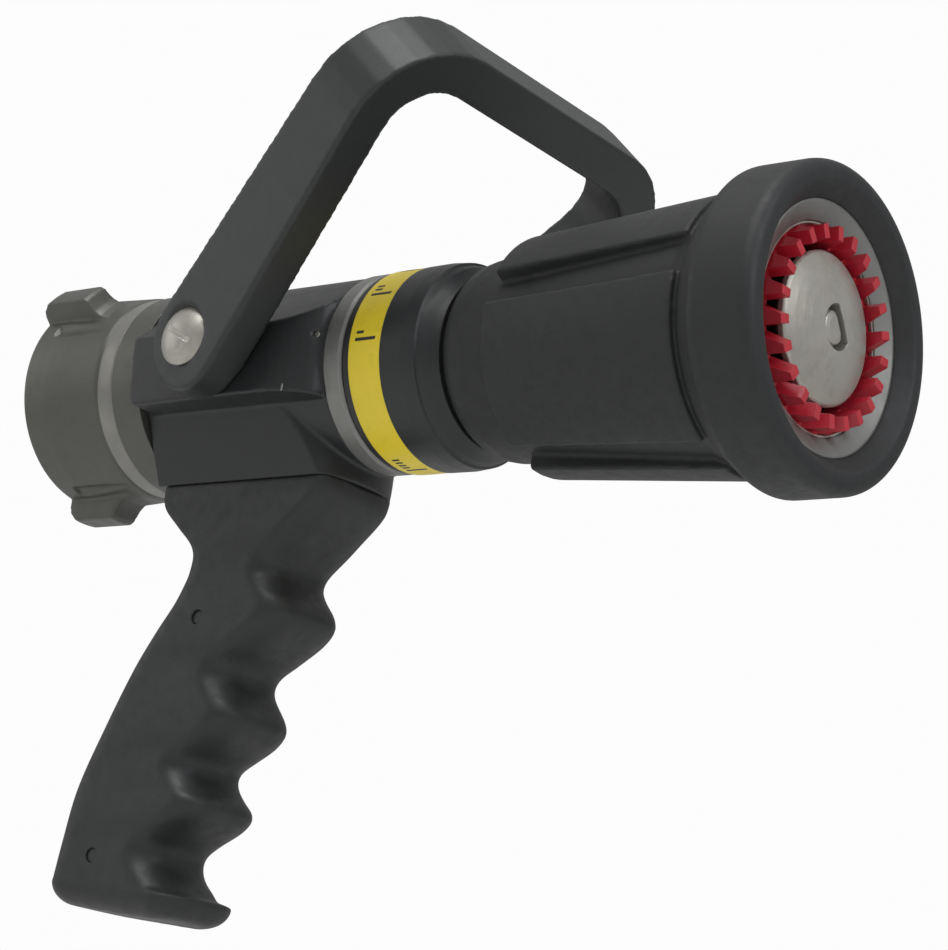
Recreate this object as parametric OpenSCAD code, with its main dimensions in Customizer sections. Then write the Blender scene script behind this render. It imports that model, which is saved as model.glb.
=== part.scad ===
// Fire hose nozzle: a 38 mm handline fog nozzle with a ball shutoff worked by a
// raked U bail, a pistol grip, a swivel inlet with rocker lugs, a flow setting
// ring and a twist pattern sleeve with a free-spinning toothed fog ring.
// Frame: +X is the way the water leaves, +Z is up, the origin is the centre of
// the inlet mouth on the nozzle's axis. Sizes are in millimetres.

/* [Inlet swivel] */
// Radius of the inlet thread's bore
thread_r = 25.4; // [24:0.1:26]
// Depth of the inlet thread
thread_len = 16; // [14:0.5:17]
// Outside radius of the swivel at its mouth
swivel_r = 31.8; // [31:0.1:33]
// Outside radius of the swivel at its front shoulder
shoulder_r = 30.7; // [30.5:0.1:31.5]
// Radius over the tips of the rocker lugs
lug_r = 37.9; // [36:0.1:39]
// Width of a rocker lug, round the swivel
lug_w = 10; // [8:0.5:14]
// Number of balls in the swivel bearing
race_balls = 24; // [12:1:26]

/* [Valve] */
// Place of the ball's centre along the nozzle
ball_x = 81; // [80.5:0.5:81.5]
// Radius of the shutoff ball
ball_r = 24.5; // [24.3:0.1:24.6]
// Radius of the waterway
waterway_r = 17.5; // [16:0.1:18]
// Outside radius of the valve body's barrel
body_r = 28; // [27.8:0.1:28.4]
// Half width over the two flat cheeks
cheek_y = 34.5; // [34:0.1:34.6]
// Radius of the ball's trunnions
trunnion_r = 7; // [6.5:0.1:7]

/* [Bail] */
// Angle of the closed bail above the nozzle's axis
bail_angle = 46; // [42:1:52]
// Distance from the pivot to the top of the bail
bail_len = 113; // [108:1:118]
// Half width over the arms at the pivot
bail_pivot_w = 46.5; // [45.5:0.5:47]
// Half width over the arms at the crossbar
bail_top_w = 68; // [62:0.5:70]
// Thickness of the arms and the crossbar
bail_thick = 12.5; // [12:0.5:13]
// Outside radius of the two top corners
bail_corner = 27; // [20:1:30]

/* [Flow ring] */
// Outside radius of the yellow setting band
band_r = 28.7; // [28.5:0.1:28.9]
// Width of the yellow setting band
band_w = 11.2; // [10:0.2:11.4]

/* [Pattern sleeve] */
// Outside radius of the bumper ring
bumper_r = 42.5; // [41:0.5:44]
// Place of the bumper's front face along the nozzle
face_x = 266; // [265.5:0.1:266.5]
// Number of raised grip lobes round the bumper
lobe_count = 4; // [3:1:4]
// Angle that each lobe covers
lobe_span = 72; // [40:1:76]
// Radius of the baffle disc
disc_r = 19.8; // [19:0.1:20.2]
// Number of teeth on the fog ring
tooth_count = 22; // [16:1:24]

/* [Pistol grip] */
// Full thickness of the grip
grip_w = 31; // [29:0.5:33]
// Thickness of the metal tang inside the grip
tang_w = 10; // [8:0.5:12]

/* [Hidden] */

smooth = 96;
arc_steps = 8;
// Radial play of a running fit, and the extra reach of a cutter past a face
play = 0.06;
past = 1;

// Stations along the nozzle
swivel_step_x = 31;
swivel_end_x = 36.8;
race_x = 27;
gasket_end_x = 20;
tail_x = 37.2;
body_x = 48;
spigot_x = 56;
seat_front_x = 15;
cavity_end_x = 110;
body_end_x = 118;
ring_end_x = 124.3;
flow_x = 124.6;
band_x = 127.5;
slot_x = 134;
detent_x = 142;
flow_end_x = 156;
sleeve_x = 158;
lobe_x = 176;
cam_x = 223;
lobe_end_x = 236;
barrel_end_x = 248;
fog_x = 252.5;
fog_end_x = 257.5;
rim_x = face_x - 4.5;
disc_x = face_x - 4.8;

// Radii that mating pieces share
race_tube_r = 24;
race_ball_r = 2.4;
gasket_r = 27;
tail_r = 30.4;
spigot_r = 26;
cavity_r = 25.2;
front_bore_r = 25;
ring_r = 28.4;
barrel_r = 23;
outlet_r = 19;
stem_r = 4;
hub_r = 8;
stem_pin_r = 2;
cam_pin_r = 2;
cam_recess_r = 26.5;
seal_groove_r = 25.4;
fog_pocket_r = 27;
fog_inner_r = 22.3;
fog_outer_r = fog_pocket_r - 0.08;
tooth_len = 6.6;
tooth_base_w = 5.4;
tooth_tip_w = 2.2;
tooth_top_r = 25.9;
rim_r = 32.6;
bush_r = 9;
screw_head_r = 8.6;
screw_r = 3;
screen_r = 20.6;
race_plug_r = 3;
lock_pin_r = 0.9;
set_screw_r = 1.5;
disc_screw_r = 2.2;
disc_screw_head_r = 4.6;
socket_r = 6;
socket_flat = 3.2;
socket_turn = 34;
grip_pin_r = 2;
bolt_r = 2.5;
bolt_head_r = 4.4;
bolt_head_h = 4.5;

// Stations of parts that mate inside the nozzle
groove_x = ball_x - seat_front_x - 4;
groove_w = 2.2;
tail_groove_x = 51;
tail_groove_end_x = 53.6;
barrel_groove_x = 110.9;
barrel_groove_end_x = 113.3;
lock_pin_x = 115;
stem_x = 126;
stem_end_x = 246;
set_screw_x = 148;
seal_x0 = 204;
seal_x1 = 208;
sleeve_bore_x = 165;

// Distances from the nozzle's middle plane, along the trunnions
bush_y = 32;
bush_inner_y = 26;
trunnion_groove_y = 29;

// Bail
arm_inner_y = cheek_y + 0.5;
pivot_boss_y = 42.5;
pivot_boss_r = 15.2;
drive_half = 4.6;
screw_seat_y = bail_pivot_w - 0.5;

// Angles round the nozzle: 0 is the near side (-Y), 90 is the top
lug_turns = [44.5, 157, 269.5];
scoop_offset = 17.5;
lock_pin_turn = 6;
plug_turn = 101;
lobe_turn = -28;
detent_turn = 90;

// Outline that the shaper and the bumper share, from the rear to the rim
shell_line = [[sleeve_bore_x, 25.6], [lobe_x, 26.2], [lobe_end_x, 30.8], [246, 31.6],
    [rim_x, rim_r]];

// Grip
grip_top_z = -33;
saddle_x = 48.4;
saddle_half = grip_w / 2;
flange_z = -38;
tang_end_z = -146;
flange_x = 55;
flange_len = 54;
flange_half = 11.5;
bolt_x = [63, 101];
pin_places = [[72.7, -72.7], [46.1, -141]];

// Side outline of a bail arm: [forward, up, corner radius]
arm_side = [[-13.9, -14, 13], [-6.8, bail_len + 4, 0], [12.8, bail_len + 4, 0],
    [15.7, -14, 13]];

// Outline of the pistol grip: [x, z, corner radius, and how far a side layer
// moves the corner forward and up for each millimetre that it is drawn in].
grip_outline = [[51, -33, 0, 0, 0], [51, -40, 5, 0.1, 0], [66.5, -54.5, 8, 0.4, 0],
    [45, -86.5, 60, 1, 0], [30, -122, 60, 1, 0], [26, -154.5, 7, 1, 0.5],
    [62, -159, 20, 0, 0.6], [82.5, -157.5, 3.5, -1.3, 0.6], [65, -137.5, 8, -0.9, 0],
    [84, -124.5, 4, -1.3, 0], [74, -113, 8, -0.9, 0], [92, -100.5, 4, -1.3, 0],
    [82.5, -87, 8, -0.9, 0], [105, -71, 4.5, -1.3, 0], [94, -59, 9, -0.7, 0],
    [115, -36, 2, -0.5, 0], [115, -33, 0, -0.5, 0]];

// Layers of the grip: [share of its thickness, how far it is drawn in].
grip_layers = [[0.45, 0], [0.65, 0.9], [0.81, 2.4], [0.92, 4.6], [1, 7.5]];

tang_outline = [[70, flange_z], [96, flange_z], [90, -56], [84, -72], [70, -100],
    [56, tang_end_z], [40, tang_end_z], [50, -104], [62, -76], [70, -57]];

// --- shape helpers ---------------------------------------------------------

function unit(v) = v / norm(v);

// Points of one rounded corner at p, between its neighbours a and b.
function corner(a, p, b, r) =
    r == 0 ? [p] :
    let(u = unit(a - p),
        v = unit(b - p),
        half = acos(u * v) / 2,
        centre = p + unit(u + v) * r / sin(half),
        start = p + u * r / tan(half) - centre,
        end = p + v * r / tan(half) - centre,
        from = atan2(start[1], start[0]),
        turn = atan2(start[0] * end[1] - start[1] * end[0], start * end))
    [for (i = [0 : arc_steps])
        centre + r * [cos(from + turn * i / arc_steps), sin(from + turn * i / arc_steps)]];

// An outline of [x, y, radius] corners as plain points.
function rounded(outline) =
    let(n = len(outline),
        flat = [for (c = outline) [c[0], c[1]]])
    [for (i = [0 : n - 1])
        for (q = corner(flat[(i + n - 1) % n], flat[i], flat[(i + 1) % n], outline[i][2])) q];

// A solid of revolution about the nozzle's axis, from [x, radius] points.
module turned(profile) {
    rotate([0, 90, 0])
        rotate_extrude($fn = smooth)
            polygon([for (p = profile) [p[1], p[0]]]);
}

module rod_x(x0, x1, r) {
    translate([x0, 0, 0])
        rotate([0, 90, 0])
            cylinder(h = x1 - x0, r = r, $fn = smooth);
}

module tube_x(x0, x1, inner, outer) {
    turned([[x0, inner], [x1, inner], [x1, outer], [x0, outer]]);
}

module rod_y(x, z, y0, y1, r) {
    translate([x, y0, z])
        rotate([-90, 0, 0])
            cylinder(h = y1 - y0, r = r, $fn = smooth);
}

// A round seal about the nozzle's axis.
module seal_x(x, major, minor) {
    translate([x, 0, 0])
        rotate([0, 90, 0])
            rotate_extrude($fn = smooth)
                translate([major, 0])
                    circle(r = minor, $fn = 24);
}

// Puts children that stand along +Z at an angle round the nozzle's axis.
module around(angle) {
    rotate([90 - angle, 0, 0])
        children();
}

// A wedge about +Z that runs along the nozzle.
module wedge(x0, x1, half_angle, reach) {
    translate([x0, 0, 0])
        rotate([0, 90, 0])
            linear_extrude(x1 - x0)
                polygon([[0, 0], reach * [-cos(half_angle), sin(half_angle)],
                    reach * [-cos(half_angle), -sin(half_angle)]]);
}

// A flat outline in the XZ plane, thick along Y and centred on it.
module plate_y(points, thickness) {
    translate([0, thickness / 2, 0])
        rotate([90, 0, 0])
            linear_extrude(thickness)
                polygon(points);
}

// A radial rod at a station and an angle.
module radial_rod(x, angle, r0, r1, r) {
    around(angle)
        translate([x, 0, r0])
            cylinder(h = r1 - r0, r = r, $fn = 48);
}

module both_sides() {
    children();
    mirror([0, 1, 0])
        children();
}

// --- inlet swivel ----------------------------------------------------------

// A rocker lug: a block with a chamfered rear end and a filleted front end.
module rocker_lug() {
    root_r = 29;
    top_half = lug_w / 2 - 0.7;
    intersection() {
        turned([[0, root_r], [0, lug_r - 2.5], [2.6, lug_r], [18, lug_r],
            [19.4, lug_r - 1], [20, lug_r - 2.7], [20.8, 33.6], [22.4, 32.1],
            [25, 31.1], [25, root_r]]);
        rotate([90, 0, 90])
            linear_extrude(swivel_step_x)
                polygon([[-lug_w / 2, root_r - 1], [-lug_w / 2, swivel_r],
                    [-top_half, lug_r + 1], [top_half, lug_r + 1],
                    [lug_w / 2, swivel_r], [lug_w / 2, root_r - 1]]);
    }
}

module swivel_coupling() {
    scoop_r = 4;
    color("#6f706a")
        difference() {
            union() {
                turned([[0, thread_r], [0, swivel_r - 1], [1, swivel_r], [10, swivel_r],
                    [swivel_step_x - 0.6, shoulder_r], [swivel_step_x, shoulder_r - 0.5],
                    [swivel_end_x - 0.4, shoulder_r - 0.9], [swivel_end_x, shoulder_r - 1.3],
                    [swivel_end_x, race_tube_r + play],
                    [gasket_end_x, race_tube_r + play], [gasket_end_x, gasket_r],
                    [thread_len, gasket_r], [thread_len, thread_r]]);
                for (turn = lug_turns)
                    around(turn)
                        rocker_lug();
            }
            for (turn = lug_turns)
                for (side = [-1, 1])
                    around(turn + side * scoop_offset)
                        translate([7, 0, swivel_r + 2.9])
                            rotate([0, 90, 0])
                                cylinder(h = 24, r = scoop_r, $fn = 48);
            seal_x(race_x, race_tube_r, race_ball_r + 0.05);
            radial_rod(race_x, plug_turn, race_tube_r, shoulder_r + past, race_plug_r);
        }
}

module inlet_gasket() {
    color("#1c1c1c")
        tube_x(thread_len, gasket_end_x, screen_r, gasket_r);
}

// Perforated debris screen, held inside the gasket.
module inlet_screen() {
    pitch = 7.4;
    hole_r = 2.6;
    screen_x = 17.4;
    rows = [[0, 1], [1, 6], [2, 12]];
    color("#b9b9b4")
        difference() {
            rod_x(screen_x, screen_x + 0.8, screen_r);
            for (row = rows)
                for (i = [0 : row[1] - 1])
                    rotate([i * 360 / row[1], 0, 0])
                        translate([screen_x - past, 0, row[0] * pitch])
                            rotate([0, 90, 0])
                                cylinder(h = 3, r = hole_r, $fn = 24);
        }
}

module race_ball_set() {
    color("silver")
        for (i = [0 : race_balls - 1])
            around(i * 360 / race_balls)
                translate([race_x, 0, race_tube_r])
                    sphere(r = race_ball_r, $fn = 24);
}

module race_plug() {
    socket_r = 1.4;
    color("#8a8a84")
        difference() {
            radial_rod(race_x, plug_turn, race_tube_r + race_ball_r + 0.2,
                shoulder_r - 0.6, race_plug_r);
            radial_rod(race_x, plug_turn, shoulder_r - 3, shoulder_r + past, socket_r);
        }
}

// --- valve body ------------------------------------------------------------

module tail_piece() {
    groove_floor_r = 24.4;
    color("#74756e")
        difference() {
            turned([[gasket_end_x + 0.3, waterway_r], [gasket_end_x + 0.3, race_tube_r],
                [tail_x, race_tube_r], [tail_x, tail_r], [body_x, tail_r], [body_x, spigot_r],
                [tail_groove_x, spigot_r], [tail_groove_x, groove_floor_r],
                [tail_groove_end_x, groove_floor_r], [tail_groove_end_x, spigot_r],
                [spigot_x, spigot_r], [spigot_x, waterway_r]]);
            seal_x(race_x, race_tube_r, race_ball_r + 0.05);
        }
}

module tail_seal() {
    color("#1c1c1c")
        seal_x((tail_groove_x + tail_groove_end_x) / 2, 25.2, 0.8);
}

// Cross-section of the keel under the valve body's barrel, drawn in [y, z]: its
// sides run down from the barrel, tangent to it, to the grip's saddle.
module keel_section() {
    side_turn = 26;
    top_y = body_r * cos(side_turn);
    top_z = -body_r * sin(side_turn);
    polygon([[-top_y, top_z], [-saddle_half - 1, grip_top_z + 2], [-saddle_half, grip_top_z],
        [saddle_half, grip_top_z], [saddle_half + 1, grip_top_z + 2], [top_y, top_z]]);
}

// Stands a [y, z] section along the nozzle.
module along_x(x0, x1) {
    translate([x0, 0, 0])
        rotate([90, 0, 90])
            linear_extrude(x1 - x0)
                children();
}

module valve_body() {
    cheek_low = -14.3;
    cheek_high = 6;
    shoulder_turn = 46.8;
    shoulder = [body_r * cos(shoulder_turn), body_r * sin(shoulder_turn)];
    front_x = 100;
    front_y = 24.5;
    front_steps = 8;
    keel_round_x = 90.3;
    keel_round_r = 26;
    cheek = [[body_x + 0.5, 4], [body_x + 2.4, -12], [body_x + 4, cheek_low],
        [body_end_x, cheek_low], [body_end_x, body_r], [body_x + 0.5, body_r]];
    section = [[-cheek_y, cheek_low], [cheek_y, cheek_low], [cheek_y, cheek_high], shoulder,
        [-shoulder[0], shoulder[1]], [-cheek_y, cheek_high]];
    half_plan = concat([[body_x, cheek_y - 1], [body_x + 1, cheek_y]],
        [for (i = [0 : front_steps])
            let(turn = 90 * i / front_steps)
            [front_x + (body_end_x - 0.5 - front_x) * sin(turn),
                front_y + (cheek_y - front_y) * cos(turn)]]);
    color("#26272a")
        difference() {
            union() {
                rod_x(body_x, body_end_x, body_r);
                intersection() {
                    along_x(body_x, body_end_x)
                        polygon(section);
                    translate([0, 0, -body_r])
                        linear_extrude(2 * body_r)
                            polygon(concat(half_plan,
                                [for (i = [len(half_plan) - 1 : -1 : 0])
                                    [half_plan[i][0], -half_plan[i][1]]]));
                    plate_y(cheek, 80);
                }
                intersection() {
                    along_x(saddle_x, body_end_x)
                        keel_section();
                    translate([keel_round_x, 0, grip_top_z])
                        union() {
                            cylinder(h = -grip_top_z, r = keel_round_r, $fn = smooth);
                            translate([saddle_x - keel_round_x, -keel_round_r, 0])
                                cube([keel_round_x - saddle_x, 2 * keel_round_r, -grip_top_z]);
                        }
                }
            }
            rod_x(body_x - past, spigot_x, spigot_r);
            rod_x(spigot_x - past, cavity_end_x, cavity_r);
            rod_x(cavity_end_x - past, body_end_x + past, front_bore_r);
            rod_y(ball_x, 0, -cheek_y - past, cheek_y + past, trunnion_r + play);
            both_sides()
                rod_y(ball_x, 0, -bush_y, -bush_y + 8, bush_r);
            for (x = bolt_x)
                translate([x, 0, grip_top_z - past])
                    cylinder(h = 6, r = bolt_r, $fn = 48);
            both_sides()
                radial_rod(lock_pin_x, lock_pin_turn, 20, cheek_y + past, lock_pin_r);
        }
}

// Ring that presses the rear seat against the ball.
module seat_spring() {
    color("silver")
        tube_x(spigot_x, spigot_x + 1.2, 20, 24.8);
}

// A ball seat with a spherical face and a groove for its seal. It is drawn for
// the rear of the ball, from its back face at x0.
module ball_seat(x0) {
    floor_r = 23.6;
    difference() {
        turned([[x0, waterway_r], [ball_x - seat_front_x, waterway_r],
            [ball_x - seat_front_x, cavity_r], [groove_x + groove_w, cavity_r],
            [groove_x + groove_w, floor_r], [groove_x, floor_r], [groove_x, cavity_r],
            [x0, cavity_r]]);
        translate([ball_x, 0, 0])
            sphere(r = ball_r + play, $fn = smooth);
    }
}

module rear_seat() {
    color("ivory")
        ball_seat(spigot_x + 1.2);
}

module front_seat() {
    color("ivory")
        translate([2 * ball_x, 0, 0])
            mirror([1, 0, 0])
                ball_seat(2 * ball_x - cavity_end_x);
}

module seat_seals() {
    seal_place = groove_x + groove_w / 2;
    color("#1c1c1c") {
        seal_x(seal_place, 24.4, 0.8);
        seal_x(2 * ball_x - seal_place, 24.4, 0.8);
    }
}

// The shutoff ball. The bail is closed at rest, so the waterway stands upright.
module ball() {
    slot_depth = 5;
    color("#c9c7bd")
        difference() {
            translate([ball_x, 0, 0])
                sphere(r = ball_r, $fn = smooth);
            translate([ball_x, 0, -ball_r - past])
                cylinder(h = 2 * (ball_r + past), r = waterway_r, $fn = smooth);
            both_sides()
                translate([ball_x, -ball_r + slot_depth / 2, 0])
                    cube([8, slot_depth, 2 * trunnion_r + 2], center = true);
        }
}

// A trunnion: a tang in the ball's slot, a round journal and a square drive.
module trunnion() {
    journal_y = arm_inner_y - 0.1;
    groove_y = trunnion_groove_y;
    difference() {
        union() {
            rod_y(ball_x, 0, -journal_y, -ball_r - 0.2, trunnion_r);
            intersection() {
                rod_y(ball_x, 0, -ball_r - 0.2, -ball_r + 4.8, trunnion_r);
                translate([ball_x, -ball_r, 0])
                    cube([7.8, 12, 2 * trunnion_r], center = true);
            }
            translate([ball_x - drive_half, -screw_seat_y, -drive_half])
                cube([2 * drive_half, screw_seat_y - journal_y, 2 * drive_half]);
        }
        difference() {
            rod_y(ball_x, 0, -groove_y - 0.9, -groove_y + 0.9, trunnion_r + past);
            rod_y(ball_x, 0, -groove_y - 1, -groove_y + 1, trunnion_r - 1.4);
        }
        rod_y(ball_x, 0, -screw_seat_y - past, -28, screw_r);
    }
}

module trunnion_near() {
    color("#b8a878")
        trunnion();
}

module trunnion_far() {
    color("#b8a878")
        mirror([0, 1, 0])
            trunnion();
}

module trunnion_bushes() {
    color("#a98a4a")
        both_sides()
            difference() {
                rod_y(ball_x, 0, -bush_y, -bush_inner_y, bush_r);
                rod_y(ball_x, 0, -bush_y - past, -bush_inner_y + past, trunnion_r + play);
            }
}

module trunnion_seals() {
    color("#1c1c1c")
        both_sides()
            translate([ball_x, -trunnion_groove_y, 0])
                rotate([90, 0, 0])
                    rotate_extrude($fn = smooth)
                        translate([trunnion_r - 0.72, 0])
                            circle(r = 0.68, $fn = 24);
}

// --- bail ------------------------------------------------------------------

// Stands children, drawn with the arms along +Z from the pivot, at the bail's
// closed angle.
module at_bail() {
    translate([ball_x, 0, 0])
        rotate([0, 90 - bail_angle, 0])
            children();
}

// The U of the bail in [y, up], with splayed arms.
module bail_front() {
    foot = -26;
    splay = (bail_top_w - bail_pivot_w) / bail_len;
    foot_w = bail_pivot_w + splay * foot;
    inner_up = bail_len - bail_thick;
    inner_w = bail_pivot_w + splay * inner_up - bail_thick;
    inner_foot_w = foot_w - bail_thick;
    inner_corner = bail_corner - bail_thick;
    difference() {
        polygon(rounded([[-foot_w, foot, 0], [-bail_top_w, bail_len, bail_corner],
            [bail_top_w, bail_len, bail_corner], [foot_w, foot, 0]]));
        polygon(rounded([[-inner_foot_w, foot - past, 0], [-inner_w, inner_up, inner_corner],
            [inner_w, inner_up, inner_corner], [inner_foot_w, foot - past, 0]]));
    }
}

module bail_handle() {
    color("#3a3b3d")
        at_bail()
            difference() {
                union() {
                    intersection() {
                        rotate([90, 0, 90])
                            translate([0, 0, -40])
                                linear_extrude(80)
                                    bail_front();
                        plate_y(rounded(arm_side), 200);
                    }
                    both_sides()
                        rod_y(0, 0, -pivot_boss_y, -arm_inner_y, pivot_boss_r);
                }
                cube([80, 2 * arm_inner_y, 70], center = true);
                both_sides() {
                    rotate([0, bail_angle - 90, 0])
                        translate([-drive_half - 0.05, -60, -drive_half - 0.05])
                            cube([2 * drive_half + 0.1, 30, 2 * drive_half + 0.1]);
                    rod_y(0, 0, -60, -screw_seat_y, screw_head_r + 0.2);
                }
            }
}

// Domed, slotted pivot screw.
module pivot_screw() {
    dome_r = 14;
    dome_h = 3;
    difference() {
        union() {
            intersection() {
                rod_y(ball_x, 0, -screw_seat_y - dome_h, -screw_seat_y, screw_head_r);
                translate([ball_x, dome_r - screw_seat_y - dome_h, 0])
                    sphere(r = dome_r, $fn = smooth);
            }
            rod_y(ball_x, 0, -screw_seat_y - 0.1, -30, screw_r);
        }
        translate([ball_x, -screw_seat_y - dome_h, 0])
            rotate([0, 28, 0])
                cube([2 * screw_head_r + 2, 1.8, 1.5], center = true);
    }
}

module pivot_screw_near() {
    color("#cfc8ba")
        pivot_screw();
}

module pivot_screw_far() {
    color("#cfc8ba")
        mirror([0, 1, 0])
            pivot_screw();
}

// Radial pins that lock the barrel's flange in the valve body.
module lock_pins() {
    color("silver")
        both_sides()
            radial_rod(lock_pin_x, lock_pin_turn, 23.7, 28.9, lock_pin_r);
}

// --- barrel and stem -------------------------------------------------------

module front_ring() {
    color("#a3a49d")
        turned([[body_end_x, front_bore_r], [body_end_x, ring_r - 0.3],
            [body_end_x + 0.4, ring_r], [ring_end_x - 0.9, ring_r],
            [ring_end_x, ring_r - 0.7], [ring_end_x, front_bore_r]]);
}

module barrel() {
    color("#2b2c2f")
        difference() {
            turned([[cavity_end_x, outlet_r], [cavity_end_x, front_bore_r],
                [barrel_groove_x, front_bore_r], [barrel_groove_x, 23.6],
                [barrel_groove_end_x, 23.6], [barrel_groove_end_x, front_bore_r],
                [ring_end_x, front_bore_r], [ring_end_x, barrel_r],
                [barrel_end_x - 2, barrel_r], [barrel_end_x, barrel_r - 1],
                [barrel_end_x, outlet_r]]);
            for (side = [-1, 1])
                translate([slot_x - 3.6, side * 21 - 6, -stem_pin_r - 0.2])
                    cube([8.6, 12, 2 * stem_pin_r + 0.4]);
            radial_rod(detent_x, detent_turn, outlet_r + past, barrel_r + past, 1.55);
            for (side = [0, 180])
                radial_rod(cam_x, side, outlet_r - past, barrel_r + past, cam_pin_r);
            both_sides()
                radial_rod(lock_pin_x, lock_pin_turn, 23.6, front_bore_r + past, lock_pin_r);
        }
}

module barrel_seal() {
    color("#1c1c1c")
        seal_x((barrel_groove_x + barrel_groove_end_x) / 2, 24.3, 0.7);
}

// Hub on three vanes that carries the stem.
module stem_support() {
    vane = 2.6;
    support_x = 160;
    support_len = 26;
    color("#8d8e88")
        difference() {
            union() {
                turned([[support_x - 6, stem_r + 1], [support_x, hub_r],
                    [support_x + support_len, hub_r], [support_x + support_len + 6, stem_r + 1],
                    [support_x + support_len + 6, 0], [support_x - 6, 0]]);
                for (i = [0 : 2])
                    around(i * 120)
                        translate([support_x, -vane / 2, 0])
                            cube([support_len, vane, outlet_r - 0.3]);
            }
            rod_x(support_x - 10, support_x + support_len + 10, stem_r + play);
        }
}

module stem() {
    color("#b5b4ac")
        difference() {
            union() {
                rod_x(stem_x, stem_end_x, stem_r);
                turned([[stem_x, 0], [stem_x, 5.6], [128, 6.4], [139, 6.4], [141, 5.6], [141, 0]]);
            }
            rod_y(slot_x, 0, -8, 8, stem_pin_r);
            rod_x(stem_end_x - 10, stem_end_x + past, disc_screw_r);
        }
}

// Pin that carries the flow ring's turn to the stem.
module stem_pin() {
    color("silver")
        rod_y(slot_x, 0, -24.6, 24.6, stem_pin_r);
}

// Domed disc with a D-shaped socket at its crown.
module baffle_disc() {
    crown_h = 3.6;
    dome_r = 53;
    dome_steps = 7;
    edge_r = disc_r - 0.6;
    crown_x = disc_x + crown_h;
    color("#c9c4b8")
        difference() {
            turned(concat([[stem_end_x, 0], [stem_end_x, 6], [252, 9], [257, 17.5],
                [259.2, disc_r], [disc_x - 0.6, disc_r]],
                [for (i = [0 : dome_steps])
                    let(r = edge_r * (1 - i / dome_steps))
                    [crown_x - dome_r + sqrt(dome_r * dome_r - r * r), r]]));
            rod_x(stem_end_x - past, crown_x + past, disc_screw_r);
            rotate([socket_turn, 0, 0])
                intersection() {
                    rod_x(disc_x - 1.6, crown_x + past, socket_r);
                    translate([disc_x - 1.6, -socket_r - past, -socket_r - past])
                        cube([8, socket_r + past + socket_flat, 2 * (socket_r + past)]);
                }
        }
}

// Keyed screw whose D-shaped head fills most of the socket.
module baffle_screw() {
    head_x = disc_x + 2.6;
    head_flat = socket_flat - 1.5;
    color("#bdb7a8")
        union() {
            rod_x(stem_end_x - 9, disc_x - 1.5, disc_screw_r);
            rotate([socket_turn, 0, 0])
                intersection() {
                    turned([[disc_x - 1.6, 0], [disc_x - 1.6, disc_screw_head_r],
                        [head_x - 1.2, disc_screw_head_r], [head_x - 0.4, disc_screw_head_r - 0.5],
                        [head_x, disc_screw_head_r - 1.8], [head_x, 0]]);
                    translate([disc_x - 2, -socket_r, -socket_r])
                        cube([8, socket_r + head_flat, 2 * socket_r]);
                }
        }
}

// --- flow ring -------------------------------------------------------------

module flow_ring() {
    band_seat_r = band_r - 0.7;
    wall_r = 28.8;
    bore_r = barrel_r + play;
    band_end_x = band_x + band_w;
    color("#2a2b2e")
        difference() {
            turned([[flow_x, bore_r], [flow_x, 27.6], [flow_x + 0.6, wall_r - 0.5],
                [band_x, wall_r - 0.5], [band_x, band_seat_r], [band_end_x, band_seat_r],
                [band_end_x, wall_r], [146, wall_r + 0.1], [150.4, wall_r - 0.3],
                [150.8, wall_r - 1], [152.4, 27], [154.4, 25.4], [flow_end_x, 24.4],
                [flow_end_x, bore_r], [detent_x + 2.2, bore_r], [detent_x + 2.2, 24.6],
                [detent_x - 2.2, 24.6], [detent_x - 2.2, bore_r], [slot_x + 4.8, bore_r],
                [slot_x + 4.8, 25.2], [slot_x - 3.8, 25.2], [slot_x - 3.8, bore_r]]);
            for (i = [0 : 3])
                around(detent_turn + i * 30 - 60)
                    translate([detent_x, 0, 24.2])
                        sphere(r = 1.7, $fn = 24);
            for (i = [0 : 2])
                radial_rod(set_screw_x, 130 + i * 50, 24.6, wall_r + past, set_screw_r);
        }
}

module flow_band() {
    color("#f2d21f")
        tube_x(band_x, band_x + band_w, band_r - 0.7, band_r);
}

module flow_ring_screws() {
    socket_r = 0.8;
    color("#3b3b3b")
        for (i = [0 : 2])
            difference() {
                radial_rod(set_screw_x, 130 + i * 50, 24.6, 28, set_screw_r);
                radial_rod(set_screw_x, 130 + i * 50, 27, 29, socket_r);
            }
}

module detent_ball() {
    color("silver")
        around(detent_turn)
            translate([detent_x, 0, 22.9])
                sphere(r = 1.5, $fn = 24);
}

// Closed-wound detent spring, as the sleeve it fills.
module detent_spring() {
    color("silver")
        around(detent_turn)
            translate([detent_x, 0, outlet_r + past])
                difference() {
                    cylinder(h = 1.4, r = 1.4, $fn = 24);
                    translate([0, 0, -past])
                        cylinder(h = 4, r = 0.8, $fn = 24);
                }
}

// --- pattern sleeve --------------------------------------------------------

module cam_pins() {
    color("silver")
        for (side = [0, 180])
            radial_rod(cam_x, side, outlet_r, barrel_r + 2.4, cam_pin_r);
}

module sleeve_seal() {
    color("#1c1c1c")
        turned([[seal_x0 + 0.3, barrel_r + 0.05], [seal_x0 + 0.3, 24.6], [seal_x0 + 1, 25.2],
            [seal_x1 - 1, 25.2], [seal_x1 - 0.3, 24.6], [seal_x1 - 0.3, barrel_r + 0.05]]);
}

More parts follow.
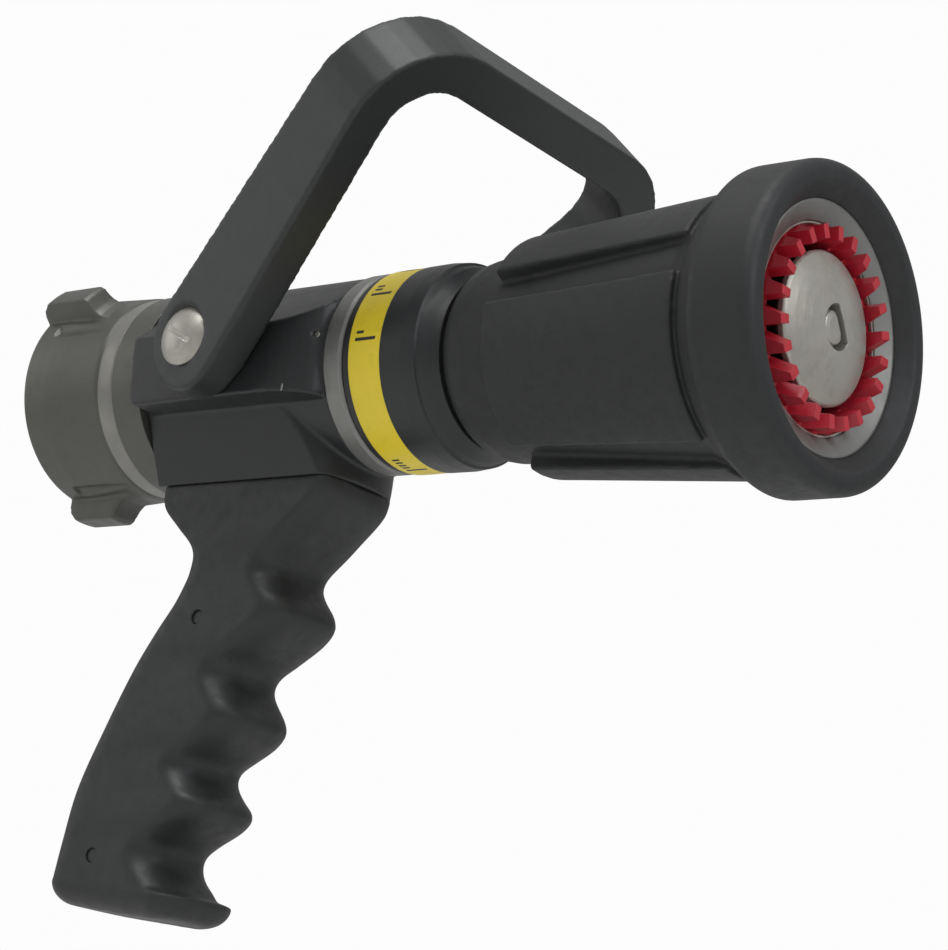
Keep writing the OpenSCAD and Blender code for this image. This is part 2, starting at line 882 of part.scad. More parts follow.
module shaper() {
    bore_r = barrel_r + 0.08;
    color("#a8a9a4")
        turned(concat(shell_line,
            [[rim_x, rim_r - 0.6], [fog_end_x + 1.3, 27.2], [fog_end_x + 1.3, 28.2],
            [fog_end_x + 0.1, 28.2], [fog_end_x + 0.1, fog_pocket_r],
            [fog_x - 0.1, fog_pocket_r], [fog_x - 0.1, 23.6], [barrel_end_x + 1.4, 24.6],
            [240, cam_recess_r], [210, cam_recess_r], [210, bore_r], [seal_x1, bore_r],
            [seal_x1, seal_groove_r], [seal_x0, seal_groove_r], [seal_x0, bore_r],
            [sleeve_bore_x, bore_r]]));
}

// A raised grip lobe on the bumper, with a square rear end.
module bumper_lobe() {
    intersection() {
        turned([[lobe_x, 27], [lobe_x, 32.2], [lobe_x + 0.8, 33],
            [lobe_end_x + 3, 37.1], [lobe_end_x + 3, 31]]);
        wedge(lobe_x - 1, lobe_end_x + 4, lobe_span / 2, 70);
    }
}

module bumper() {
    edge = 3.2;
    edge_steps = 5;
    face_land = 2.6;
    ring_x = 246;
    front_edge = [for (i = [0 : edge_steps])
        let(a = 90 * i / edge_steps)
        [face_x - edge + edge * sin(a), bumper_r - edge + edge * cos(a)]];
    rear_edge = [for (i = [0 : edge_steps])
        let(a = 60 - 60 * i / edge_steps)
        [ring_x + edge - edge * sin(a), bumper_r - edge + edge * cos(a)]];
    color("#2c2d30")
        union() {
            turned(concat(
                [[sleeve_x, 23.6], [sleeve_x, 24.6], [sleeve_x + 0.8, 25.8],
                [sleeve_x + 3, 27.2], [sleeve_x + 7, 28], [lobe_x, 28.2],
                [lobe_end_x, 34], [lobe_end_x + 4, 35.6]],
                rear_edge, front_edge,
                [[face_x, bumper_r - edge - face_land], [rim_x, rim_r]],
                [for (i = [len(shell_line) - 2 : -1 : 0]) shell_line[i]],
                [[sleeve_bore_x, 23.6]]));
            for (i = [0 : lobe_count - 1])
                around(lobe_turn + i * 360 / lobe_count)
                    bumper_lobe();
        }
}

// One saw tooth: its leading flank lies along the nozzle, its back slants.
module fog_tooth() {
    root = 0.5;
    around(0)
        translate([fog_end_x - root, 0, fog_inner_r - 2])
            linear_extrude(tooth_top_r - fog_inner_r + 2)
                polygon([[0, 0], [0, tooth_base_w], [tooth_len + root, tooth_tip_w],
                    [tooth_len + root, 0]]);
}

module fog_ring() {
    color("#d3202f")
        difference() {
            union() {
                rod_x(fog_x, fog_end_x, fog_outer_r);
                for (i = [0 : tooth_count - 1])
                    rotate([i * 360 / tooth_count, 0, 0])
                        fog_tooth();
            }
            rod_x(fog_x - past, fog_end_x + tooth_len + past, fog_inner_r);
        }
}

module fog_ring_clip() {
    color("#8d8e88")
        difference() {
            tube_x(fog_end_x + 0.2, fog_end_x + 1.2, 26.7, 28.1);
            translate([fog_end_x - 1, -2, 20])
                cube([4, 4, 12]);
        }
}

// --- pistol grip -----------------------------------------------------------

// Stacked outlines that narrow towards each side of the grip.
module grip_shell() {
    for (layer = grip_layers)
        plate_y(rounded([for (c = grip_outline)
            [c[0] + layer[1] * c[3], c[1] + layer[1] * c[4], c[2]]]), layer[0] * grip_w);
}

// Room for the tang's flange, from its underside up to a height.
module flange_block(top_z) {
    translate([flange_x, -flange_half, flange_z])
        cube([flange_len, 2 * flange_half, top_z - flange_z]);
}

module grip() {
    color("#303134")
        difference() {
            grip_shell();
            plate_y(tang_outline, tang_w);
            flange_block(grip_top_z + past);
            for (x = bolt_x)
                translate([x, 0, flange_z - 5])
                    cylinder(h = 6, r = bolt_head_r + 0.2, $fn = 48);
            for (place = pin_places)
                rod_y(place[0], place[1], -grip_w, grip_w, grip_pin_r);
        }
}

// Metal tang with a flange bolted under the valve body.
module grip_tang() {
    color("#8d8e88")
        difference() {
            union() {
                plate_y(tang_outline, tang_w);
                flange_block(grip_top_z);
            }
            for (x = bolt_x)
                translate([x, 0, flange_z - past])
                    cylinder(h = 12, r = bolt_r, $fn = 48);
            for (x = bolt_x)
                translate([x, 0, flange_z - 8])
                    cylinder(h = 8, r = bolt_head_r + 0.2, $fn = 48);
            for (place = pin_places)
                rod_y(place[0], place[1], -grip_w, grip_w, grip_pin_r);
        }
}

module tang_bolts() {
    color("#55565a")
        for (x = bolt_x)
            translate([x, 0, flange_z]) {
                translate([0, 0, -bolt_head_h])
                    difference() {
                        cylinder(h = bolt_head_h, r = bolt_head_r, $fn = 48);
                        translate([0, 0, -past])
                            cylinder(h = 3.5, r = 2.3, $fn = 6);
                    }
                cylinder(h = 9.5, r = bolt_r, $fn = 48);
            }
}

module grip_pins() {
    color("#1a1a1c")
        for (place = pin_places)
            rod_y(place[0], place[1], -grip_w / 2 + 0.6, grip_w / 2 - 0.6, grip_pin_r);
}

swivel_coupling();
inlet_gasket();
inlet_screen();
race_ball_set();
race_plug();
tail_piece();
tail_seal();
valve_body();
seat_spring();
rear_seat();
front_seat();
seat_seals();
ball();
trunnion_near();
trunnion_far();
trunnion_bushes();
trunnion_seals();
bail_handle();
pivot_screw_near();
pivot_screw_far();
lock_pins();
front_ring();
barrel();
barrel_seal();
stem_support();
stem();
stem_pin();
baffle_disc();
baffle_screw();
flow_ring();
flow_band();
flow_ring_screws();
detent_ball();
detent_spring();
cam_pins();
sleeve_seal();
shaper();
bumper();
fog_ring();
fog_ring_clip();
grip();
grip_tang();
tang_bolts();
grip_pins();
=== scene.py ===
import math

import bmesh
import bpy
from mathutils import Matrix, Vector


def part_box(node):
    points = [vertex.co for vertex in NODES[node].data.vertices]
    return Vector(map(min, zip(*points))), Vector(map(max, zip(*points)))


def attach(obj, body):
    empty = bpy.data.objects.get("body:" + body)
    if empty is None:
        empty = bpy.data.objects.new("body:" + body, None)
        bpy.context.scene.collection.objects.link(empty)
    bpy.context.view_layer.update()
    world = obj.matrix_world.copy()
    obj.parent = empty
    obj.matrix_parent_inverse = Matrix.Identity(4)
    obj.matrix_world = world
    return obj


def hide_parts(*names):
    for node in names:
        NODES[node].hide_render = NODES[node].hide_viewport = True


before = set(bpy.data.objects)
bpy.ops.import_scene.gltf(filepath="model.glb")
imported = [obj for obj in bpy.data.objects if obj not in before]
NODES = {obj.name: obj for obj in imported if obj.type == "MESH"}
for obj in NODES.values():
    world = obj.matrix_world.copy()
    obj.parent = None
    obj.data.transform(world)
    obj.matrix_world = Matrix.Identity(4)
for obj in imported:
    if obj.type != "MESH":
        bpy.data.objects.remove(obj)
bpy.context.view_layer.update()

MM = 0.001
FLOOR_Z = -0.25


# --- camera, floor and light -------------------------------------------------

def make_camera():
    data = bpy.data.cameras.new("camera")
    data.sensor_width = 36.0
    data.sensor_fit = "HORIZONTAL"
    data.lens = 102.5
    data.clip_end = 20.0
    camera = bpy.data.objects.new("camera", data)
    right = Vector((0.7814, 0.6102, 0.1308))
    up = Vector((0.0601, -0.2821, 0.9575))
    back = right.cross(up).normalized()
    right = up.cross(back).normalized()
    camera.matrix_world = Matrix((
        (right.x, up.x, back.x, 0.6087),
        (right.y, up.y, back.y, -0.5422),
        (right.z, up.z, back.z, -0.2198),
        (0, 0, 0, 1)))
    bpy.context.scene.collection.objects.link(camera)
    bpy.context.scene.camera = camera


def area_light(name, place, target, size, power, colour=(1, 1, 1)):
    data = bpy.data.lights.new(name, "AREA")
    data.shape = "DISK"
    data.size = size
    data.energy = power
    data.color = colour
    light = bpy.data.objects.new(name, data)
    direction = Vector(target) - Vector(place)
    light.location = place
    light.rotation_euler = direction.to_track_quat("-Z", "Y").to_euler()
    bpy.context.scene.collection.objects.link(light)


def make_world(seen, lit_top, lit_bottom):
    """A white backdrop whose light on the object is softer, and weaker from below."""
    world = bpy.data.worlds.new("studio")
    world.use_nodes = True
    tree = world.node_tree
    seen_white = tree.nodes["Background"]
    seen_white.inputs["Color"].default_value = (seen, seen, seen, 1)
    lit = tree.nodes.new("ShaderNodeBackground")
    place = tree.nodes.new("ShaderNodeTexCoord")
    split = tree.nodes.new("ShaderNodeSeparateXYZ")
    height = tree.nodes.new("ShaderNodeMapRange")
    path = tree.nodes.new("ShaderNodeLightPath")
    both = tree.nodes.new("ShaderNodeMixShader")
    height.inputs["From Min"].default_value = -0.6
    height.inputs["From Max"].default_value = 0.9
    height.inputs["To Min"].default_value = lit_bottom
    height.inputs["To Max"].default_value = lit_top
    link = tree.links.new
    link(place.outputs["Generated"], split.inputs[0])
    link(split.outputs["Z"], height.inputs["Value"])
    link(height.outputs[0], lit.inputs["Strength"])
    link(path.outputs["Is Camera Ray"], both.inputs[0])
    link(lit.outputs[0], both.inputs[1])
    link(seen_white.outputs[0], both.inputs[2])
    link(both.outputs[0], tree.nodes["World Output"].inputs["Surface"])
    bpy.context.scene.world = world


# --- materials ---------------------------------------------------------------

class Graph:
    """A material's node tree, with short calls for the nodes that it needs."""

    def __init__(self, name):
        self.material = bpy.data.materials.new(name)
        self.material.use_nodes = True
        self.tree = self.material.node_tree
        self.shader = self.tree.nodes["Principled BSDF"]
        self.place = self.add("ShaderNodeTexCoord").outputs["Object"]

    def add(self, kind, inputs=None, **settings):
        node = self.tree.nodes.new(kind)
        for key, value in settings.items():
            setattr(node, key, value)
        for key, value in (inputs or {}).items():
            self.set(node.inputs[key], value)
        return node

    def set(self, socket, value):
        if isinstance(value, bpy.types.NodeSocket):
            self.tree.links.new(value, socket)
        else:
            socket.default_value = value

    def noise(self, scale, detail=3.0, rough=0.55, place=None, stretch=None):
        source = place or self.place
        if stretch:
            source = self.add("ShaderNodeMapping", {"Vector": source, "Scale": stretch}).outputs[0]
        return self.add("ShaderNodeTexNoise", {"Vector": source, "Scale": scale,
                        "Detail": detail, "Roughness": rough}).outputs["Fac"]

    def math(self, operation, a, b=0.0):
        return self.add("ShaderNodeMath", {0: a, 1: b}, operation=operation).outputs[0]

    def span(self, value, low, high, to_low=0.0, to_high=1.0):
        """value from low..high, mapped to to_low..to_high and clamped."""
        return self.add("ShaderNodeMapRange", {"Value": value, "From Min": low,
                        "From Max": high, "To Min": to_low, "To Max": to_high}).outputs[0]

    def mix(self, factor, a, b):
        node = self.add("ShaderNodeMix", data_type="RGBA")
        for socket, value in ((node.inputs[0], factor), (node.inputs[6], a), (node.inputs[7], b)):
            self.set(socket, value)
        return node.outputs[2]

    def bump(self, height, strength, distance, normal=None):
        inputs = {"Height": height, "Strength": strength, "Distance": distance}
        if normal is not None:
            inputs["Normal"] = normal
        return self.add("ShaderNodeBump", inputs).outputs[0]

    def axis(self, name):
        return self.add("ShaderNodeSeparateXYZ", {0: self.place}).outputs[name]


def shade(colour, factor):
    return tuple(min(1.0, c * factor) for c in colour) + (1.0,)


def surface(name, colour, roughness, metallic=0.0, specular=0.5, spread=0.16, patch=45.0,
            grain=1600.0, grain_depth=0.12, rough_spread=0.08, round_edge=0.5, wear=None,
            wear_share=0.5, turned=None, extra=None):
    """A material with colour patches, grain, uneven roughness, rounded and worn edges."""
    g = Graph(name)
    big = g.noise(patch, 4.0)
    fine = g.noise(grain, 2.0, 0.6)
    middle = g.noise(patch * 6, 5.0, 0.65)
    tone = g.mix(g.span(big, 0.3, 0.7), shade(colour, 1 - spread), shade(colour, 1 + spread))
    tone = g.mix(g.span(fine, 0.35, 0.65, 0.0, 0.5), tone, shade(colour, 1 + 0.6 * spread))
    soft = g.add("ShaderNodeBevel", {"Radius": round_edge * MM}, samples=4).outputs[0]
    height = fine
    if turned:
        rings = g.add("ShaderNodeTexWave", {"Vector": g.place, "Scale": 0.5 / (turned * MM) / 3.14,
                      "Distortion": 0.6, "Detail": 1.0, "Detail Scale": 0.4},
                      wave_type="BANDS", bands_direction="X").outputs["Fac"]
        height = g.math("ADD", g.math("MULTIPLY", rings, 0.6), g.math("MULTIPLY", fine, 0.5))
    normal = g.bump(height, grain_depth, 0.2 * MM, soft)
    if wear is not None:
        flat = g.add("ShaderNodeNewGeometry").outputs["True Normal"]
        dot = g.add("ShaderNodeVectorMath", {0: soft, 1: flat},
                    operation="DOT_PRODUCT").outputs["Value"]
        edge = g.span(dot, 0.985, 0.86)
        broken = g.span(g.noise(420.0, 4.0, 0.7), 0.42, 0.62, 0.15, 1.0)
        tone = g.mix(g.math("MULTIPLY", g.math("MULTIPLY", edge, broken), wear_share),
                     tone, shade(wear, 1.0))
    rough = g.span(middle, 0.3, 0.7, roughness - rough_spread, roughness + rough_spread)
    if extra:
        tone, rough = extra(g, tone, rough)
    g.set(g.shader.inputs["Base Color"], tone)
    g.set(g.shader.inputs["Roughness"], rough)
    g.set(g.shader.inputs["Metallic"], metallic)
    g.set(g.shader.inputs["Specular IOR Level"], specular)
    g.set(g.shader.inputs["Normal"], normal)
    return g.material


SWIVEL_STEP = 31.0 * MM
BAND_LENGTH = 6.0 * MM
BAND_FADE = 0.2 * MM


def machined_band(g, tone, rough):
    """The bare machined band at the front of the swivel."""
    x = g.axis("X")
    band_end = SWIVEL_STEP + BAND_LENGTH
    inside = g.math("MULTIPLY", g.span(x, SWIVEL_STEP, SWIVEL_STEP + BAND_FADE),
                    g.span(x, band_end + BAND_FADE, band_end))
    bright = g.mix(g.span(g.noise(70.0, 4.0), 0.3, 0.7),
                   (0.17, 0.17, 0.158, 1), (0.24, 0.235, 0.215, 1))
    return g.mix(inside, tone, bright), g.mix(inside, rough, (0.3, 0.3, 0.3, 1))


def smudges(g, tone, rough):
    """Handling marks: soft stains and fine scratches."""
    stain = g.span(g.noise(110.0, 6.0, 0.7), 0.52, 0.68)
    scratch = g.span(g.noise(260.0, 2.0, 0.5, stretch=(1.0, 6.0, 0.5)), 0.62, 0.72)
    tone = g.mix(g.math("MULTIPLY", stain, 0.28), tone, (0.20, 0.18, 0.13, 1))
    tone = g.mix(g.math("MULTIPLY", scratch, 0.25), tone, (0.62, 0.60, 0.56, 1))
    return tone, g.math("ADD", rough, g.math("MULTIPLY", stain, 0.12))


def worn_grip(g, tone, rough):
    """Slight polish where the hand wears the moulded grip."""
    worn = g.span(g.noise(60.0, 4.0), 0.5, 0.7)
    return g.mix(g.math("MULTIPLY", worn, 0.35), tone, (0.026, 0.028, 0.029, 1)), rough


def dirt(g, tone, rough):
    """Grime on the painted band."""
    spot = g.span(g.noise(240.0, 6.0, 0.7), 0.56, 0.72)
    return g.mix(g.math("MULTIPLY", spot, 0.22), tone, (0.28, 0.20, 0.03, 1)), rough


MATERIALS = {
    "coupling_metal": surface("coupling_metal", (0.088, 0.088, 0.08), 0.42, metallic=0.45,
                              wear=(0.2, 0.2, 0.18), wear_share=0.45, grain=900.0,
                              grain_depth=0.14, spread=0.07, extra=machined_band),
    "body_black": surface("body_black", (0.0165, 0.0175, 0.0185), 0.42, specular=0.4,
                          wear=(0.07, 0.072, 0.075), wear_share=0.3, grain=1300.0,
                          grain_depth=0.12, spread=0.06, rough_spread=0.04),
    "bail_black": surface("bail_black", (0.0215, 0.0235, 0.0235), 0.45, specular=0.4,
                          wear=(0.06, 0.064, 0.066), wear_share=0.3, grain=1500.0,
                          grain_depth=0.16, round_edge=0.8, spread=0.05,
                          rough_spread=0.03),
    "grip_polymer": surface("grip_polymer", (0.0175, 0.0187, 0.0187), 0.5, specular=0.4,
                            grain=1100.0, grain_depth=0.18, round_edge=0.6, spread=0.07,
                            extra=worn_grip),
    "bumper_rubber": surface("bumper_rubber", (0.0165, 0.0172, 0.0182), 0.56, specular=0.38,
                             grain=1700.0, grain_depth=0.16, round_edge=1.0, spread=0.07),
    "seal_rubber": surface("seal_rubber", (0.015, 0.015, 0.015), 0.6, grain=1500.0),
    "bare_aluminium": surface("bare_aluminium", (0.215, 0.215, 0.205), 0.5, metallic=0.7,
                              turned=0.5, grain_depth=0.12, spread=0.08, wear=(0.6, 0.6, 0.58)),
    "stainless": surface("stainless", (0.40, 0.385, 0.345), 0.36, metallic=0.65, spread=0.1,
                         patch=90.0, grain_depth=0.08, wear=(0.8, 0.79, 0.76), extra=smudges),
    "bronze": surface("bronze", (0.30, 0.20, 0.08), 0.4, metallic=0.9, grain_depth=0.1),
    "seat_polymer": surface("seat_polymer", (0.55, 0.53, 0.44), 0.45, grain_depth=0.08),
    "band_yellow": surface("band_yellow", (0.70, 0.54, 0.02), 0.42, spread=0.06, grain=1400.0,
                           grain_depth=0.08, wear=(0.66, 0.55, 0.16), wear_share=0.4, extra=dirt),
    "fog_red": surface("fog_red", (0.40, 0.012, 0.026), 0.38, spread=0.14, grain_depth=0.1,
                       round_edge=0.35, wear=(0.5, 0.06, 0.07), wear_share=0.4),
}
DARK_MARK = surface("mark_black", (0.02, 0.02, 0.02), 0.5)


def slot_of(node):
    """The record's material slot that a CAD node came with."""
    return NODES[node].data.materials[0].name.split(".")[0]


SLOTS = {name: slot_of(name) for name in NODES}


def paint_cad():
    for name, node in NODES.items():
        for entry in node.material_slots:
            entry.material = MATERIALS[SLOTS[name]]


# --- pieces ------------------------------------------------------------------

SMOOTH_FACTOR = 0.5


def linked(name, mesh):
    """A new object in the scene."""
    made = bpy.data.objects.new(name, mesh)
    bpy.context.scene.collection.objects.link(made)
    return made


def finished_mesh(name, bm):
    """A mesh from bm, which is freed."""
    mesh = bpy.data.meshes.new(name)
    bm.to_mesh(mesh)
    bm.free()
    return mesh


def loft(bm, rows):
    """Joins rings of vertices into one closed skin, with a cap on the first and the last."""
    count = len(rows[0])
    for a, b in zip(rows, rows[1:]):
        for i in range(count):
            j = (i + 1) % count
            bm.faces.new((a[i], a[j], b[j], b[i]))
    bm.faces.new(rows[0])
    bm.faces.new(list(reversed(rows[-1])))


def add_object(name, mesh, body, slot, sharp=None):
    """A finished piece that rides on a body; sharp is the angle over which edges stay sharp."""
    piece = linked(name, mesh)
    mesh.materials.clear()
    mesh.materials.append(MATERIALS.get(slot, DARK_MARK))
    for face in mesh.polygons:
        face.use_smooth = True
    if sharp:
        mesh.set_sharp_from_angle(angle=math.radians(sharp))
    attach(piece, body)
    return piece


def applied(piece):
    """The piece's mesh with its modifiers applied."""
    graph = bpy.context.evaluated_depsgraph_get()
    mesh = bpy.data.meshes.new_from_object(piece.evaluated_get(graph))
    old = piece.data
    piece.modifiers.clear()
    piece.data = mesh
    bpy.data.meshes.remove(old)
    return mesh


def welded_copy(node):
    mesh = NODES[node].data.copy()
    bm = bmesh.new()
    bm.from_mesh(mesh)
    bmesh.ops.remove_doubles(bm, verts=bm.verts, dist=1e-6)
    bm.to_mesh(mesh)
    bm.free()
    return mesh


def round_off(piece, voxel, rounds):
    """Adds a remesh to small even faces, then rounds of smoothing that round every edge."""
    remesh = piece.modifiers.new("remesh", "REMESH")
    remesh.mode = "VOXEL"
    remesh.voxel_size = voxel * MM
    smooth = piece.modifiers.new("smooth", "SMOOTH")
    smooth.factor = SMOOTH_FACTOR
    smooth.iterations = rounds


def softened(name, node, body, voxel, rounds):
    """A cast or moulded version of a CAD node: the same shape with rounded edges."""
    piece = linked(name, welded_copy(node))
    round_off(piece, voxel, rounds)
    mesh = applied(piece)
    bpy.data.objects.remove(piece)
    piece = add_object(name, mesh, body, SLOTS[node])
    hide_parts(node)
    return piece


def curve_at(points, z):
    """x at height z on a cubic Hermite line through (x, z) points that fall in z."""
    for i in range(len(points) - 1):
        (x0, z0), (x1, z1) = points[i], points[i + 1]
        if z1 <= z <= z0:
            t = (z0 - z) / (z0 - z1)
            xa = points[max(0, i - 1)]
            xb = points[min(len(points) - 1, i + 2)]
            m0 = (x1 - xa[0]) / (xa[1] - z1) * (z0 - z1) if xa[1] != z1 else x1 - x0
            m1 = (xb[0] - x0) / (z0 - xb[1]) * (z0 - z1) if xb[1] != z0 else x1 - x0
            t2, t3 = t * t, t * t * t
            return ((2 * t3 - 3 * t2 + 1) * x0 + (t3 - 2 * t2 + t) * m0
                    + (3 * t2 - 2 * t3) * x1 + (t3 - t2) * m1)
    return points[0][0] if z > points[0][1] else points[-1][0]


GRIP_REAR = [(51, -33), (51, -39.5), (56.2, -45.5), (61.6, -51), (62.6, -55.5), (58.5, -66.5),
             (52, -76.3), (45.6, -87), (37.6, -104.3), (30.6, -122), (27.9, -138), (26.4, -150)]
GRIP_FRONT = [(115, -33), (113.6, -38), (106, -46.3), (98.6, -54.4), (96.8, -59), (98.8, -63.2),
              (102, -67.5), (102.6, -71), (99.4, -75), (91, -80.6), (85.6, -84.6), (83.9, -89),
              (86.6, -94), (89.3, -97.9), (89.9, -101), (87, -104.6), (80.8, -108.6),
              (76.2, -112), (75.2, -115.6), (78.4, -120.5), (81.4, -123.5), (81.7, -126),
              (78.6, -129), (71.6, -133), (67.2, -137), (67.2, -142), (72.2, -147.8),
              (77.6, -153)]
GRIP_VALLEYS = [(96.8, -59), (83.9, -88.5), (75.2, -115), (67, -139.5)]
GRIP_BUTT = [(26, -153.6), (62, -157.4), (82, -156.2)]
GRIP_HALF = 15.5
GRIP_TOP = -33.0
GRIP_LAST_LAYER = -149.5
GRIP_ROUND = 8.5
SIDE_ROUND = 10.0
BASE_EDGE = 6.0
BASE_MIDDLE_X = 53.0
BASE_HALF_LENGTH = 27.0
BASE_FRONT_X = 79.2
GROOVE_DEPTH = 1.0
GROOVE_WIDTH = 5.5
GROOVE_LENGTH = 18.0
GROOVE_FADE = 15.0
GROOVE_START = -6.0
GROOVE_START_FADE = 5.0
GROOVE_ALONG = (-0.83, 0.56)
FLAT_HALF = 3.0
FLAT_FADE = 9.0
SQUARE_TOP_Z = -60.0
SQUARE_TOP_FADE = 25.0
TOP_REAR_ROUND = 0.3
TOP_FRONT_ROUND = 4.9
GRIP_VOXEL = 0.6
GRIP_ROUNDS = 5
PIN_HOLE_R = 2.05 * MM
PIN_R = 2.0 * MM
PIN_HOLE_FLARE = 1.12
PIN_HOLE_START = 13.2


def grip_bottom(x):
    """Height of the grip's underside at x: it falls from the heel and rises to the toe."""
    (heel_x, heel_z), (low_x, low_z), (toe_x, toe_z) = GRIP_BUTT
    if x < low_x:
        return heel_z + (low_z - heel_z) * (x - heel_x) / (low_x - heel_x)
    return low_z + (toe_z - low_z) * (x - low_x) / (toe_x - low_x)


def grip_loop(rear, front, corner_rear, corner_front, count=9):
    """A section of the grip: (x, y) points, rounded towards the rear and the front."""
    points = []
    for side in (1, -1):
        ends = [(front, corner_front, 1), (rear, corner_rear, -1)]
        for x_end, radius, way in (ends if side == 1 else reversed(ends)):
            rising = (way == 1) == (side == 1)
            for k in range(count):
                a = math.radians(90 * k / (count - 1))
                a = a if rising else math.radians(90) - a
                points.append((x_end - way * radius * (1 - math.cos(a)),
                               side * (GRIP_HALF - SIDE_ROUND + SIDE_ROUND * math.sin(a))))
    return points


def clamped(value):
    return max(0.0, min(1.0, value))


def dimple(x, y, z):
    """How far a finger groove presses the grip's side in, at a point."""
    depth = 0.0
    ax, az = GROOVE_ALONG
    for vx, vz in GRIP_VALLEYS:
        dx, dz = x - vx, z - vz
        along = ax * dx + az * dz
        across = az * dx - ax * dz
        fade = (clamped((GROOVE_LENGTH - along) / GROOVE_FADE)
                * clamped((along - GROOVE_START) / GROOVE_START_FADE))
        depth += (GROOVE_DEPTH * math.exp(-(across / GROOVE_WIDTH) ** 2)
                  * fade * fade * (3 - 2 * fade))
    return depth * clamped((abs(y) - FLAT_HALF) / FLAT_FADE)


def grip_rings():
    """The grip's sections from the top down, then the rounded edge of its butt."""
    rings = []
    z = GRIP_TOP
    while z > GRIP_LAST_LAYER:
        rear, front = curve_at(GRIP_REAR, z), curve_at(GRIP_FRONT, z)
        top = clamped((z - SQUARE_TOP_Z) / SQUARE_TOP_FADE)
        ring = grip_loop(rear, front, GRIP_ROUND * (1 - top) + TOP_REAR_ROUND * top,
                         GRIP_ROUND * (1 - top) + TOP_FRONT_ROUND * top)
        rings.append([(x, y - math.copysign(dimple(x, y, z), y), z) for x, y in ring])
        z -= 1.0
    base = grip_loop(GRIP_REAR[-1][0], BASE_FRONT_X, GRIP_ROUND, GRIP_ROUND)
    base_steps = 7
    for k in range(base_steps + 1):
        a = math.radians(90 * k / base_steps)
        inset = BASE_EDGE * (1 - math.cos(a))
        drop = BASE_EDGE * (1 - math.sin(a))
        scale_x = 1 - inset / BASE_HALF_LENGTH
        scale_y = 1 - inset / GRIP_HALF
        ring = []
        for x, y in base:
            px, py = BASE_MIDDLE_X + (x - BASE_MIDDLE_X) * scale_x, y * scale_y
            ring.append((px, py, grip_bottom(px) + drop))
        rings.append(ring)
    return rings


def make_grip():
    """The moulded grip, with finger grooves and the holes over its cross pins."""
    bm = bmesh.new()
    loft(bm, [[bm.verts.new(Vector(p) * MM) for p in ring] for ring in grip_rings()])
    bmesh.ops.remove_doubles(bm, verts=bm.verts, dist=1e-6)
    bmesh.ops.recalc_face_normals(bm, faces=bm.faces)
    piece = linked("grip_moulded", finished_mesh("grip_moulded", bm))
    round_off(piece, GRIP_VOXEL, GRIP_ROUNDS)
    holes = []
    holes = pin_holes(piece)
    mesh = applied(piece)
    for hole in holes:
        bpy.data.objects.remove(hole)
    bpy.data.objects.remove(piece)
    piece = add_object("grip_moulded", mesh, "valve", "grip_polymer", sharp=50)
    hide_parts("grip")


def pin_holes(piece):
    """Cuts the shallow holes over the two cross pins."""
    low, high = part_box("grip_pins")
    depth = 6.0
    cutters = []
    for x, z in ((high.x - PIN_R, high.z - PIN_R), (low.x + PIN_R, low.z + PIN_R)):
        for side in (-1, 1):
            bm = bmesh.new()
            middle_y = side * (PIN_HOLE_START + depth / 2) * MM
            bmesh.ops.create_cone(bm, cap_ends=True, segments=32, radius1=PIN_HOLE_R,
                                  radius2=PIN_HOLE_R * PIN_HOLE_FLARE, depth=depth * MM,
                                  matrix=Matrix.Translation((x, middle_y, z))
                                  @ Matrix.Rotation(math.radians(-90 * side), 4, "X"))
            cutter = linked("hole", finished_mesh("hole", bm))
            cutters.append(cutter)
            cut = piece.modifiers.new("hole", "BOOLEAN")
            cut.operation = "DIFFERENCE"
            cut.solver = "EXACT"
            cut.object = cutter
    return cutters


def make_thread():
    """Thread ridges in the inlet's bore, nine to the inch."""
    pitch = 25.4 / 9
    root, crest = 25.35, 24.1
    steps = 72
    start, end = 1.2, 14.4
    turns = (end - start - 0.8 * pitch) / pitch
    total = int(turns * steps)
    bm = bmesh.new()
    rows = []
    for i in range(total + 1):
        a = 2 * math.pi * i / steps
        x = start + pitch * i / steps
        lead = max(0.02, min(1.0, i / 14, (total - i) / 14))
        top = root - (root - crest) * lead
        row = []
        for dx, r in ((0, root), (0.36, top), (0.46, top), (0.8, root)):
            place = Vector((x + dx * pitch, -r * math.cos(a), r * math.sin(a)))
            row.append(bm.verts.new(place * MM))
        rows.append(row)
    loft(bm, rows)
    bmesh.ops.recalc_face_normals(bm, faces=bm.faces)
    mesh = finished_mesh("inlet_thread_ridge", bm)
    piece = add_object("inlet_thread_ridge", mesh, "swivel", "coupling_metal", sharp=25)


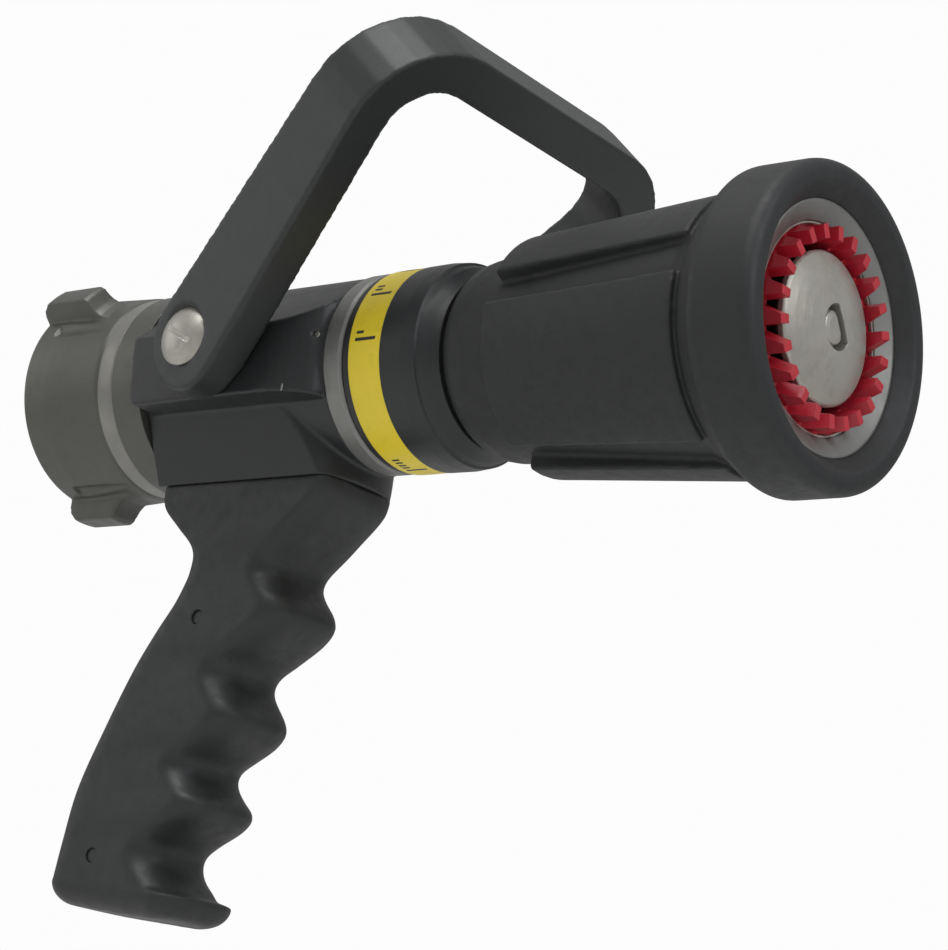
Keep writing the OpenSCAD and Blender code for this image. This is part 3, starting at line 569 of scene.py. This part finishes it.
def band_marks():
    """Plain setting marks round the yellow band: a long line and a dot at each setting."""
    low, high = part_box("flow_band")
    radius = high.z + 0.04 * MM
    depth = 0.22 * MM
    bm = bmesh.new()

    def patch(x0, x1, angle, half_width):
        steps = 3
        rows = []
        for k in range(steps + 1):
            a = math.radians(angle + half_width * (2 * k / steps - 1))
            rows.append([bm.verts.new((x, -r * math.cos(a), r * math.sin(a)))
                         for x, r in ((x0, radius - depth), (x0, radius), (x1, radius),
                                      (x1, radius - depth))])
        loft(bm, rows)

    width = high.x - low.x
    for i in range(4):
        for turn in (0, 180):
            angle = turn + 30 * i
            patch(low.x + 0.18 * width, high.x - 0.18 * width, angle, 0.9)
            for k in range(i + 1):
                patch(low.x + 0.2 * width, low.x + 0.42 * width, angle + 4.2 + 3.2 * k, 0.8)
    bmesh.ops.recalc_face_normals(bm, faces=bm.faces)
    mesh = finished_mesh("band_setting_marks", bm)
    piece = add_object("band_setting_marks", mesh, "flow_collar", "mark_black", sharp=30)


CHIP_X = 109.0
CHIP_Z = -13.2


def edge_nick():
    """A small bright chip on the front lower corner of the near cheek."""
    cheek = NODES["valve_body"]
    to_cheek = cheek.matrix_world.inverted()
    start = to_cheek @ (Vector((CHIP_X, -60.0, CHIP_Z)) * MM)
    way = (to_cheek.to_3x3() @ Vector((0, 1, 0))).normalized()
    place = cheek.matrix_world @ cheek.ray_cast(start, way)[1]
    bm = bmesh.new()
    bmesh.ops.create_icosphere(bm, subdivisions=3, radius=0.75 * MM)
    for vert in bm.verts:
        vert.co = Vector((vert.co.x * 0.5, vert.co.y * 0.35, vert.co.z * 1.5))
        vert.co += place
    mesh = finished_mesh("cheek_edge_chip", bm)
    piece = add_object("cheek_edge_chip", mesh, "valve", "bare_aluminium")


def make_floor():
    bm = bmesh.new()
    bmesh.ops.create_grid(bm, x_segments=8, y_segments=8, size=4.0)
    mesh = finished_mesh("floor", bm)
    floor = linked("floor", mesh)
    floor.location = (0, 0, FLOOR_Z)
    mesh.materials.append(surface("floor_pale", (0.82, 0.82, 0.81), 0.7, spread=0.01, patch=3.0,
                                  grain=200.0, grain_depth=0.02, round_edge=0.1))


# --- the scene ---------------------------------------------------------------

make_camera()
make_world(0.98, 0.62, 0.36)
area_light("key", (0.25, -0.55, 1.05), (0.12, 0, 0), 0.8, 10.0)
area_light("left", (-0.8, -0.55, 0.25), (0.05, 0, -0.02), 0.8, 1.3)
area_light("front", (1.0, -0.1, 0.45), (0.25, 0, 0), 0.6, 3.2, (0.94, 0.97, 1.0))

paint_cad()
make_grip()
make_thread()
band_marks()
edge_nick()
softened("bumper_moulded", "bumper", "pattern_sleeve", 0.5, 4)
softened("bail_cast", "bail_handle", "shutoff", 0.55, 14)
softened("body_cast", "valve_body", "valve", 0.5, 9)
softened("swivel_cast", "swivel_coupling", "swivel", 0.45, 3)

make_floor()

scene = bpy.context.scene
scene.view_settings.view_transform = "Standard"
scene.view_settings.look = "None"
